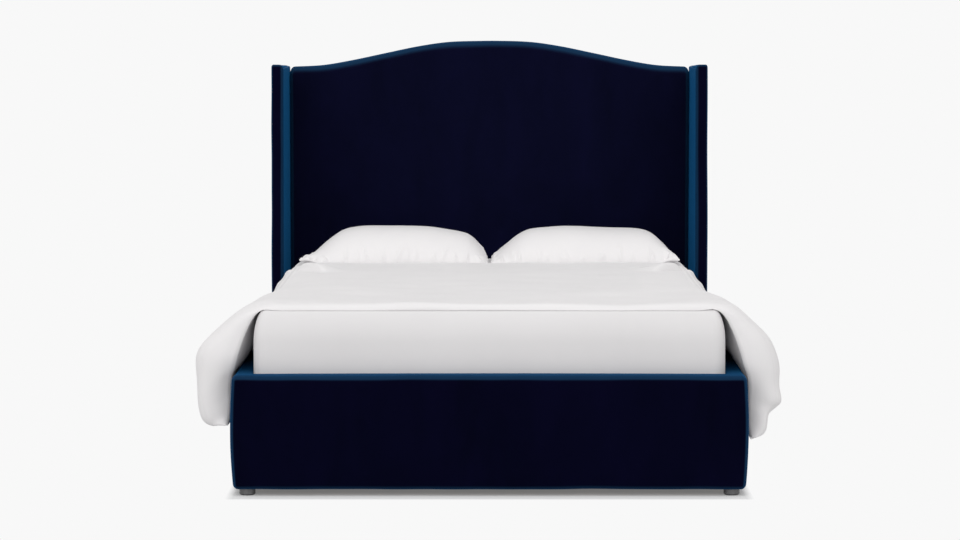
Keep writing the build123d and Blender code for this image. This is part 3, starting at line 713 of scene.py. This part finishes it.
def mattressPiece(settings):
    low, high = nodeBox("mattress")
    points, faces = roundedBox(low, high, settings["rounding"], [60, 80, 10], 8, ["-z"])
    sagDown(points, settings)
    piece = meshObject("mattressCore", points, faces, "ticking")
    belongs(piece, "mattress_body", "mattress_ticking", "mattress")
    # The piping runs round the lower edge and meets itself
    corner, count = np.array(settings["rounding"][:2]), settings["pipingCount"]
    middle, half = (low[:2] + high[:2]) / 2, (high[:2] - low[:2]) / 2 - corner
    angles = 2 * math.pi * np.arange(count + 1) / count
    spread = np.stack([np.cos(angles), np.sin(angles)], 1)
    path = middle + np.sign(spread) * half * (np.abs(spread) > 1e-9) + spread * corner
    path = np.column_stack([path, np.full(count + 1, low[2] + settings["pipingHeight"])])
    piping = meshObject("mattressPiping", *tube(path, settings["pipingRadius"], 8), "ticking")
    belongs(piping, "mattress_body", "mattress_ticking")


def sheetPiece(settings):
    low, high = nodeBox("fitted_sheet")
    bottom = nodeBox("mattress")[0][2]
    points, faces = roundedBox((*low[:2], bottom - 0.2), high, settings["rounding"], [90, 120, 34], 10)
    keep = points[faces][:, :, 2].min(1) > low[2] - 0.004
    used, faces = np.unique(faces[keep], return_inverse=True)
    points, faces = points[used], faces.reshape(-1, 4)
    x, y, z = points.T
    # The cloth is drawn into the corners, so it gathers a little there
    middleY, halfY = (low[1] + high[1]) / 2, (high[1] - low[1]) / 2
    cornerX = smoothStep(np.abs(x), *(high[0] - reach for reach in settings["cornerReach"]))
    cornerY = smoothStep(np.abs(y - middleY), *(halfY - reach for reach in settings["cornerReach"]))
    down = smoothStep(high[2] - z, 0.1, 0.24)
    gather = settings["pull"] * cornerX * cornerY * down * np.sin((x - y) * 2 * math.pi / settings["gatherRun"])
    slack = settings["pull"] * ripple(points * [1, 1, 0.4], 0.3, 51) * smoothStep(high[2] - z, 0.03, 0.12)
    sagDown(points, mattressLook)
    piece = meshObject("fittedSheet", points, faces, "sheet")
    setPoints(piece, points + normalsOf(piece) * (gather + slack)[:, None])
    wall = piece.modifiers.new("cloth", "SOLIDIFY")
    wall.thickness, wall.offset = settings["thickness"], -1.0
    settle(piece)
    belongs(piece, "mattress_body", "white_cotton", "fitted_sheet")


mattressPiece(mattressLook)
sheetPiece(sheetLook)
print("mattress and sheet made")

# Duvet: a closed form between its underside and outer side, sewn together round the edge
duvetUnder = ((0, 0.5993), (0.45, 0.5993), (0.68, 0.5993), (0.722, 0.5985), (0.75, 0.584), (0.77, 0.558),
              (0.791, 0.515), (0.809, 0.465), (0.824, 0.414), (0.833, 0.389), (0.838, 0.372), (0.8405, 0.33))
duvetLook = {
    "outerLeft": ((0, 0.613), (0.45, 0.6135), (0.66, 0.6135), (0.735, 0.612), (0.8, 0.59), (0.873, 0.533),
                  (0.9275, 0.481), (0.951, 0.447), (0.958, 0.415), (0.957, 0.36), (0.956, 0.3), (0.953, 0.262),
                  (0.944, 0.228), (0.926, 0.209), (0.905, 0.205), (0.889, 0.2115), (0.87, 0.215), (0.852, 0.2155)),
    "outerRight": ((0, 0.613), (0.45, 0.6135), (0.66, 0.6135), (0.735, 0.612), (0.795, 0.599), (0.8587, 0.548),
                   (0.9125, 0.495), (0.939, 0.441), (0.949, 0.395), (0.949, 0.34), (0.956, 0.295), (0.952, 0.278),
                   (0.93, 0.26), (0.912, 0.246), (0.908, 0.22), (0.904, 0.195), (0.893, 0.18), (0.873, 0.173),
                   (0.85, 0.1715)),
    "outerHead": ((0, 0.613), (0.45, 0.6135), (0.6, 0.6135), (0.668, 0.611), (0.712, 0.6), (0.747, 0.576),
                  (0.77, 0.542), (0.79, 0.503), (0.815, 0.462), (0.842, 0.42), (0.861, 0.38), (0.871, 0.33),
                  (0.876, 0.28), (0.873, 0.245), (0.866, 0.226), (0.857, 0.221)),
    "innerLeft": (*duvetUnder, (0.8425, 0.27), (0.8435, 0.232), (0.8445, 0.219), (0.848, 0.2155)),
    "innerRight": (*duvetUnder, (0.8425, 0.25), (0.8435, 0.195), (0.8445, 0.177), (0.847, 0.1715)),
    "innerHead": ((0, 0.5993), (0.45, 0.5993), (0.68, 0.5993), (0.722, 0.599), (0.745, 0.588), (0.757, 0.562),
                  (0.766, 0.525), (0.772, 0.49), (0.786, 0.445), (0.8165, 0.3945), (0.8275, 0.388), (0.8365, 0.372),
                  (0.8405, 0.33), (0.843, 0.27), (0.845, 0.238), (0.849, 0.225), (0.854, 0.221)),
    "front": 0.022,
    "columns": 150,
    "rowStep": 0.012,
    "closeRows": (0, 0.0006, 0.0018, 0.0038, 0.0065, 0.01, 0.0145, 0.02, 0.027, 0.035, 0.045, 0.056, 0.068, 0.08),
    "closeSide": 0.085,
    "closeTop": 0.01,
    "tuckBack": 0.045,
    "tuckShare": (0.78, 0.92),
    "foldShare": (0.62, 0.95),
    "headShare": (0.02, 0.62),
    "calmRange": (0.06, 0.3),
    "wanderRange": (0.1, 0.4),
    "dipRange": (0.66, 0.75),
    "freeGap": (0.002, 0.013),
    "fullGap": (0.01, 0.05),
    "flareEnd": 0.2,
    "foldDepth": 0.018,
    "foldLength": 0.36,
    "hemWander": 0.008,
    "puff": 0.002,
    "puffLength": 0.42,
    "wrinkle": 0.001,
    "wrinkleLength": 0.12,
    "bulgeLength": 0.22,
    "crease": ((0.62, 0.12), (0.775, 0.36)),
    "creaseStep": 0.023,
}


def duvetGrids(settings):
    low, high = nodeBox("duvet")
    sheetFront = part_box("fitted_sheet")[0].y
    count = settings["columns"]
    start, length = low[1] + settings["front"], high[1] - low[1] - settings["front"]
    # Rows stand close together where the ends close
    near = np.array(settings["closeRows"])
    between = np.arange(near[-1] + settings["rowStep"], length - near[-1] - 0.006, settings["rowStep"])
    along = np.concatenate([near, between, length - near[::-1]])
    share = np.linspace(0, 1, count)
    fold, join = smoothStep(share, *settings["foldShare"]), smoothStep(share, 0.95, 1.0)[:, None]
    tuck = settings["tuckBack"] * smoothStep(share, *settings["tuckShare"])
    grids = np.zeros((2, 2, len(along), count, 3))
    for number, (side, hand) in enumerate(hands):
        names = [part + end for part in ("outer", "inner") for end in (hand.capitalize(), "Head")]
        outFoot, outHead, underFoot, underHead = (smoothPath(settings[name], count) for name in names)
        phases = np.random.default_rng(61 + side).uniform(0, 2 * math.pi, 4)
        for row, distance in enumerate(along):
            y = start + distance
            toHead = smoothStep(distance / length, *settings["headShare"])
            flare = smoothStep(distance, 0.0, settings["flareEnd"])
            turn = 2 * math.pi * distance / settings["foldLength"]
            swing = sum(size * math.sin(pace * turn + phase)
                        for size, pace, phase in zip((0.5, 0.3, 0.2), (1, 1.9, 3.1), phases))
            calm = smoothStep(distance, *settings["calmRange"]) * (1 - 0.5 * toHead)
            wander = fold * settings["hemWander"] * smoothStep(distance, *settings["wanderRange"])
            wander *= math.sin(0.7 * turn + phases[3])
            out = outFoot * (1 - toHead) + outHead * toHead
            under = underFoot * (1 - flare) + underHead * flare
            out = out + np.stack([fold * calm * settings["foldDepth"] * swing, wander], 1)
            under = under + np.stack([fold * calm * settings["foldDepth"] * 0.2 * (1 + swing), wander], 1)
            meet = 0.5 * (out[-1] + under[-1])
            out, under = out + join * (meet - out[-1]), under + join * (meet - under[-1])
            # The ends close in a round
            depth = np.clip(np.linalg.norm(out - under, axis=1) * 0.85, settings["closeTop"], settings["closeSide"])
            shut = np.ones(count)
            for left in (distance, length - distance):
                shut *= np.sqrt(1 - (1 - np.clip(left / depth, 0, 1)) ** 2)
            out = under + (out - under) * shut[:, None]
            # Low down, the front is tucked back against the rail
            outY = y + tuck * (1 - (shut if distance < length / 2 else 1))
            underY = y + tuck * max(0, 1 - distance / settings["closeSide"])
            # The front edge dips with the mattress edge below it
            reach, fall = sheetLook["rounding"][1:]
            dip = np.clip((sheetFront + reach - y) / reach, 0, 1)
            dip = fall * (1 - np.sqrt(1 - dip ** 2)) * (1 - smoothStep(under[:, 0], *settings["dipRange"]))
            grids[0, number, row] = np.stack([side * out[:, 0], outY, out[:, 1] - dip], 1)
            grids[1, number, row] = np.stack([side * under[:, 0], underY, under[:, 1] - dip], 1)
    return [np.concatenate([left[:, ::-1], right[:, 1:]], 1) for left, right in grids]


def gridFaces(rows, columns, first=0, flip=False):
    r, c = np.meshgrid(np.arange(rows - 1), np.arange(columns - 1), indexing="ij")
    a = first + r.ravel() * columns + c.ravel()
    quads = np.stack([a, a + 1, a + columns + 1, a + columns], 1)
    return quads[:, ::-1] if flip else quads


def duvetPiece(settings):
    outer, inner = duvetGrids(settings)
    rows, columns = outer.shape[:2]
    points = np.concatenate([outer.reshape(-1, 3), inner.reshape(-1, 3)])
    faces = np.concatenate([gridFaces(rows, columns), gridFaces(rows, columns, rows * columns, True)])
    piece = meshObject("duvetCover", points, faces, "duvet")
    gap = np.linalg.norm(outer - inner, axis=2).reshape(-1)
    free, fullness = (np.concatenate([smoothStep(gap, *settings[key]), 0 * gap]) for key in ("freeGap", "fullGap"))
    puff, wrinkle = settings["puff"], settings["wrinkle"]
    push = puff * ripple(points * [1, 0.8, 1], settings["puffLength"], 71) * (free + fullness)
    push += wrinkle * ripple(points * [0.45, 1, 0.7], settings["wrinkleLength"], 72) * free
    push += wrinkle * 1.6 * np.abs(ripple(points * [0.4, 1.2, 0.5], settings["bulgeLength"], 73)) * fullness
    # A slanting crease near each shoulder, with the cloth behind it higher
    first, last = (np.array(end) for end in settings["crease"])
    ahead = (last - first) / np.linalg.norm(last - first)
    plan = np.stack([np.abs(points[:, 0]), points[:, 1]], 1) - first
    behind = plan @ [-ahead[1], ahead[0]]
    within = smoothStep(plan @ ahead, -0.06, 0.06) * free * (np.abs(points[:, 0]) < 0.9)
    step = smoothStep(behind, -0.006, 0.016) * (1 - smoothStep(behind, 0.02, 0.13))
    push += settings["creaseStep"] * within * (step - 0.8 * np.exp(-(behind / 0.009) ** 2))
    setPoints(piece, points + normalsOf(piece) * push[:, None])
    shaped = (pointsOf(piece) + 0.0004 * normalsOf(piece))[:rows * columns].reshape(rows, columns, 3)
    mergeDoubles(piece)
    belongs(piece, "duvet_body", "white_cotton", "duvet")
    return shaped


duvetTop = duvetPiece(duvetLook)
print("duvet made")

# Pillows: two panels sewn together all round, full in the middle and gathered along the front seam
pillowLook = {
    "cells": (150, 110),
    "crowding": 0.9,
    "crownLeft": (((0, 1), (0.28, 0.985), (0.46, 0.945), (0.61, 0.85), (0.75, 0.6), (0.89, 0.26), (1, 0)),
                  ((0, 1), (0.3, 0.985), (0.49, 0.93), (0.717, 0.82), (0.822, 0.68), (0.927, 0.38), (1, 0))),
    "crownRight": (((0, 1), (0.2, 0.985), (0.36, 0.945), (0.47, 0.915), (0.575, 0.865), (0.683, 0.74), (0.79, 0.54),
                    (0.896, 0.3), (1, 0)),
                   ((0, 1), (0.32, 0.985), (0.59, 0.93), (0.75, 0.82), (0.857, 0.58), (0.93, 0.33), (1, 0))),
    "seamHeight": 0.007,
    "backTuck": 0.1,
    "seamBow": 0.03,
    "lean": 0.01,
    "gathers": 15,
    "gatherDepth": 0.018,
    "pleatStray": 0.018,
    "pleatSlant": 0.7,
    "pleatReach": (0.03, 0.085),
    "pleatWidth": (0.01, 0.022),
    "earRise": 0.019,
    "earAcross": (0.76, 0.94),
    "earAlong": (0.35, 0.9),
    "earHollow": 0.02,
    "hollowAt": (0.86, -0.95),
    "hollowSize": (0.035, 0.09),
    "slack": 0.0035,
}


def gathered(x, fromSeam, settings, chance):
    # Small slanting pleats that start at the seam and run out over the filling
    total = np.zeros(len(x))
    places = np.linspace(x.min() * 0.92, x.max() * 0.92, settings["gathers"])
    stray, slope = settings["pleatStray"], settings["pleatSlant"]
    for place in places + chance.uniform(-stray, stray, len(places)):
        ranges = (-slope, slope), settings["pleatReach"], settings["pleatWidth"]
        slant, reach, width = (chance.uniform(*limits) for limits in ranges)
        where = (x - place - slant * fromSeam) / (width * (1 - 0.5 * np.clip(fromSeam / reach, 0, 1)))
        ridge = np.where(where < 0, 1 + where, 1 - where * 2.6)
        total += chance.uniform(0.5, 1.0) * np.clip(ridge, 0, 1) * np.clip(1 - fromSeam / reach, 0, 1)
    return settings["gatherDepth"] * total


def pillowPiece(side, hand, settings):
    low, high = nodeBox(f"pillow_{hand}")
    room, middle = high - low, (low + high) / 2
    nx, ny = settings["cells"]
    # Points stand closer together towards the seam
    crowding = settings["crowding"]
    u, v = (np.sin(np.linspace(-math.pi / 2, math.pi / 2, count + 1) * crowding) / math.sin(crowding * math.pi / 2)
            for count in (nx, ny))
    u, v = (grid.ravel() for grid in np.meshgrid(u, v, indexing="ij"))
    # The filling has slipped, so the crown falls differently at the two ends
    crown = [smoothPath(line, 120) for line in settings["crown" + hand.capitalize()]]
    full = np.where(u < 0, *(np.interp(np.abs(u), line[:, 0], line[:, 1]) for line in crown))
    full *= np.clip(1 - np.abs(v) ** 2.8, 0, 1) ** 0.85
    # The two pillows lie side by side, so it is the outer side that is drawn in
    tuck = np.where(side * u > 0, 1, 0.1)
    wide = 1 - tuck * settings["backTuck"] * smoothStep(v, -0.4, 1.0)
    wide *= 1 - tuck * settings["seamBow"] * (1 - v ** 2) * np.abs(u) ** 3
    x = u * room[0] / 2 * wide
    y = v * room[1] / 2 * (1 - settings["seamBow"] * (1 - u ** 2) * np.abs(v) ** 3)
    seam, top = settings["seamHeight"], room[2] - settings["slack"]
    flat = np.stack([x, y, np.zeros(len(x))], 1)
    chance = np.random.default_rng(81 + side)
    fromSide = (1 - np.abs(u)) * room[0] / 2
    fromFront = (1 + v) * room[1] / 2
    fromEnd = np.minimum(np.minimum(fromSide, fromFront), (1 - v) * room[1] / 2)
    inward = smoothStep(fromEnd, 0.0, 0.012)
    pleats = gathered(x, fromFront, settings, chance) * inward
    pleats += 0.6 * gathered(y, fromSide, settings, chance) * inward
    slack = settings["slack"] * ripple(flat * [1, 0.7, 1], 0.24, 83 + side) * full
    # The outer front corner stands up as a small ear, with a hollow beside it
    outer = side * u
    ear = smoothStep(outer, *settings["earAcross"]) * smoothStep(-v, *settings["earAlong"])
    at, size = settings["hollowAt"], settings["hollowSize"]
    hollow = np.exp(-((outer - at[0]) / size[0]) ** 2 - ((v - at[1]) / size[1]) ** 2)
    over = seam + (top - seam) * full + slack + pleats * (1 - 0.5 * full) + settings["earRise"] * ear
    over -= settings["earHollow"] * hollow * smoothStep(fromEnd, 0.0, 0.02)
    over = np.maximum(over, seam)
    under = seam * (1 - smoothStep(fromEnd, 0.0, 0.035)) + settings["earRise"] * ear * 0.6
    leant = x - side * settings["lean"] * (1 - u ** 2) * (over / room[2])
    sag = headSag(y + middle[1], mattressLook)
    over, under = over - sag * (1 - full), under - sag
    upper = np.stack([leant, y, over], 1) + [*middle[:2], low[2]]
    lower = np.stack([x, y, under], 1) + [*middle[:2], low[2]]
    border = np.isclose(np.abs(u), 1) | np.isclose(np.abs(v), 1)
    lower[border] = upper[border]
    faces = np.concatenate([gridFaces(nx + 1, ny + 1, 0, True), gridFaces(nx + 1, ny + 1, len(upper), False)])
    piece = meshObject(f"pillowCase_{hand}", np.concatenate([upper, lower]), faces, "pillow")
    shaped = (pointsOf(piece) + 0.0003 * normalsOf(piece))[:len(upper)].reshape(nx + 1, ny + 1, 3)
    mergeDoubles(piece)
    belongs(piece, f"pillow_{hand}_body", "white_cotton", f"pillow_{hand}")
    return shaped


pillowTops = {hand: pillowPiece(side, hand, pillowLook) for side, hand in hands}
print("pillows made")

# Rows of stitches and staples, laid along paths by one node tree
stitchLook = {"spacing": 0.0042, "length": 0.003, "thickness": 0.0007, "seed": 5}
stapleLook = {"spacing": 0.038, "length": 0.0105, "thickness": 0.0013, "seed": 6}
rowPlaces = {"duvetSide": 5, "duvetEnd": 14, "duvetFoot": 9, "pillowColumn": 14, "backInset": 0.012, "archStops": 90}


def rowTree():
    rows = Nodes(bpy.data.node_groups.new("stitchRow", "GeometryNodeTree"))
    labels = (("Path", "Geometry"), ("Spacing", "Float"), ("Length", "Float"), ("Thickness", "Float"),
              ("Seed", "Int"), ("Finish", "Material"))
    for label, kind in labels:
        rows.tree.interface.new_socket(label, in_out="INPUT", socket_type="NodeSocket" + kind)
    rows.tree.interface.new_socket("Row", in_out="OUTPUT", socket_type="NodeSocketGeometry")
    given = {socket.name: Value(rows, socket) for socket in rows.tree.nodes.new("NodeGroupInput").outputs}
    curve = rows.node("GeometryNodeMeshToCurve", {}, {"Mesh": given["Path"]})
    curve = rows.node("GeometryNodeResampleCurve", {"mode": "LENGTH"}, {"Curve": curve, "Length": given["Spacing"]})
    ahead = rows.node("GeometryNodeInputTangent")
    turned = rows.node("FunctionNodeAlignRotationToVector", {"axis": "Z"}, {"Vector": ahead})
    limits = {2: 0.85, 3: 1.1, "Seed": given["Seed"]}
    vary = rows.node("FunctionNodeRandomValue", {"data_type": "FLOAT"}, limits, 1)
    size = {0: given["Thickness"], 1: given["Thickness"], 2: given["Length"] * vary}
    size = rows.node("ShaderNodeCombineXYZ", {}, size)
    bead = rows.node("GeometryNodeMeshUVSphere", {}, {"Segments": 5, "Rings": 4, "Radius": 0.5})
    laid = {"Points": curve, "Instance": bead, "Rotation": turned, "Scale": size}
    laid = rows.node("GeometryNodeInstanceOnPoints", {}, laid)
    real = rows.node("GeometryNodeRealizeInstances", {}, {"Geometry": laid})
    real = rows.node("GeometryNodeSetMaterial", {}, {"Geometry": real, "Material": given["Finish"]})
    rows.end("NodeGroupOutput", real, "Row")
    return rows.tree


def layRow(name, paths, body, slot, finish, settings, tree):
    mesh, points, edges = bpy.data.meshes.new(name), [], []
    for path in paths:
        edges += [(len(points) + step, len(points) + step + 1) for step in range(len(path) - 1)]
        points += np.asarray(path, float).tolist()
    mesh.from_pydata(points, edges, [])
    piece = placed(name, mesh)
    row = piece.modifiers.new("row", "NODES")
    row.node_group = tree
    values = {key.capitalize(): value for key, value in settings.items()} | {"Finish": finishes[finish]}
    for item in tree.interface.items_tree:
        if item.in_out == "INPUT" and item.name in values:
            row[item.identifier] = values[item.name]
    settle(piece)
    smooth(piece.data)
    belongs(piece, body, slot)


def rowPieces(places):
    tree = rowTree()
    sewn = "white_cotton", "thread", stitchLook, tree
    edge, end = places["duvetSide"], places["duvetEnd"]
    hems = [duvetTop[end:-end, edge], duvetTop[end:-end, -1 - edge], duvetTop[places["duvetFoot"], 6:-6]]
    layRow("duvetHemStitches", hems, "duvet_body", *sewn)
    for side, hand in hands:
        top = pillowTops[hand]
        column = places["pillowColumn"] if side < 0 else -1 - places["pillowColumn"]
        hems = [top[column, 2:-2], top[column + side, 2:-2]]
        layRow(f"pillowHemStitches_{hand}", hems, f"pillow_{hand}_body", *sewn)
    low, high = nodeBox("headboard_back_cover")
    inset, count = places["backInset"], places["archStops"]
    across = np.linspace(low[0] + inset, high[0] - inset, count)
    fall = archFall(across, high[0], headboardPad)
    arch = np.stack([across, np.full(count, high[1]), high[2] - inset - fall], 1)
    ends = [np.array([arch[end], (arch[end][0], high[1], low[2] + inset)]) for end in (0, -1)]
    foot = np.array([ends[0][1], ends[1][1]])
    layRow("backStaples", [arch, *ends, foot], "bed_frame", "zinc_steel", "zinc", stapleLook, tree)


rowPieces(rowPlaces)
print("stitches and staples laid")

# Floor, light and camera
room = {
    "floorReach": 40,
    "floorWhite": 0.939,
    "shadowSpread": (-0.012, 0.028),
    "shadowReach": 0.026,
    "shadowLift": 0.16,
    "floorGrey": 0.8,
    "worldLight": 0.5,
    "sunStrength": 1.7,
    "sunTilt": (36, -5),
    "sunSize": 80,
}


def stageFloor(settings):
    # White beyond the bed's shadow, which lies close round its footprint
    finish = Finish("paleFloor")
    low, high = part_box("footboard_cover"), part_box("headboard_back_cover")
    middle = (0, (low[0].y + high[1].y) / 2, 0)
    half = (low[1].x + settings["shadowSpread"][0], (high[1].y - low[0].y) / 2 + settings["shadowSpread"][1], 0)
    away = finish.place
    steps = ("SUBTRACT", middle), ("ABSOLUTE", middle), ("SUBTRACT", half), ("MAXIMUM", (0, 0, 0))
    for operation, other in steps:
        away = finish.node("ShaderNodeVectorMath", {"operation": operation}, {0: away, 1: other})
    away = finish.node("ShaderNodeVectorMath", {"operation": "LENGTH"}, {0: away}, "Value")
    far = finish.ramp(away, 0.0, settings["shadowReach"])
    share = settings["shadowLift"] + (1 - settings["shadowLift"]) * far
    white, grey = settings["floorWhite"], settings["floorGrey"]
    grain = finish.noise(2.0, 2.0)
    matte = finish.node("ShaderNodeBsdfDiffuse", {}, {"Color": finish.blend(grain, (grey,) * 3, (grey * 0.995,) * 3)})
    glow = finish.node("ShaderNodeEmission", {}, {"Color": (white, white, white, 1)})
    both = finish.node("ShaderNodeMixShader", {}, {0: finish.seen() * share, 1: matte, 2: glow})
    finish.end("ShaderNodeOutputMaterial", both)
    finishes["floor"] = finish.material
    reach = settings["floorReach"]
    corners = [(x * reach, y * reach, 0) for x, y in ((-1, -1), (1, -1), (1, 1), (-1, 1))]
    floor = meshObject("floor", corners, [(0, 1, 2, 3)], "floor")


def stageLight(settings):
    world = bpy.data.worlds.new("studio")
    scene.world = world
    world.use_nodes = True
    sky = Nodes(world.node_tree)
    light, white = settings["worldLight"], settings["floorWhite"]
    tone = sky.blend(sky.seen(), (light,) * 3, (white,) * 3)
    sky.end("ShaderNodeOutputWorld", sky.node("ShaderNodeBackground", {}, {"Color": tone}))
    sun = bpy.data.lights.new("softSun", "SUN")
    sun.energy, sun.angle = settings["sunStrength"], math.radians(settings["sunSize"])
    placed("softSun", sun).rotation_euler = (*map(math.radians, settings["sunTilt"]), 0)


cameraLook = {
    "lens": 103.82,
    "sensor": 36.0,
    "behind": 8.797,
    "height": 1.5552,
    "tiltDown": 5.337,
    "shiftX": -0.0099,
}


def stageCamera(settings):
    seen = bpy.data.cameras.new("camera")
    seen.lens, seen.sensor_width, seen.shift_x = settings["lens"], settings["sensor"], settings["shiftX"]
    seen.clip_end = 200
    camera = placed("camera", seen)
    camera.location = (0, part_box("footboard_cover")[0].y - settings["behind"], settings["height"])
    camera.rotation_euler = (math.radians(90 - settings["tiltDown"]), 0, 0)
    scene.camera = camera


stageFloor(room)
stageLight(room)
stageCamera(cameraLook)
scene.view_settings.view_transform = "Standard"

print("scene ready")
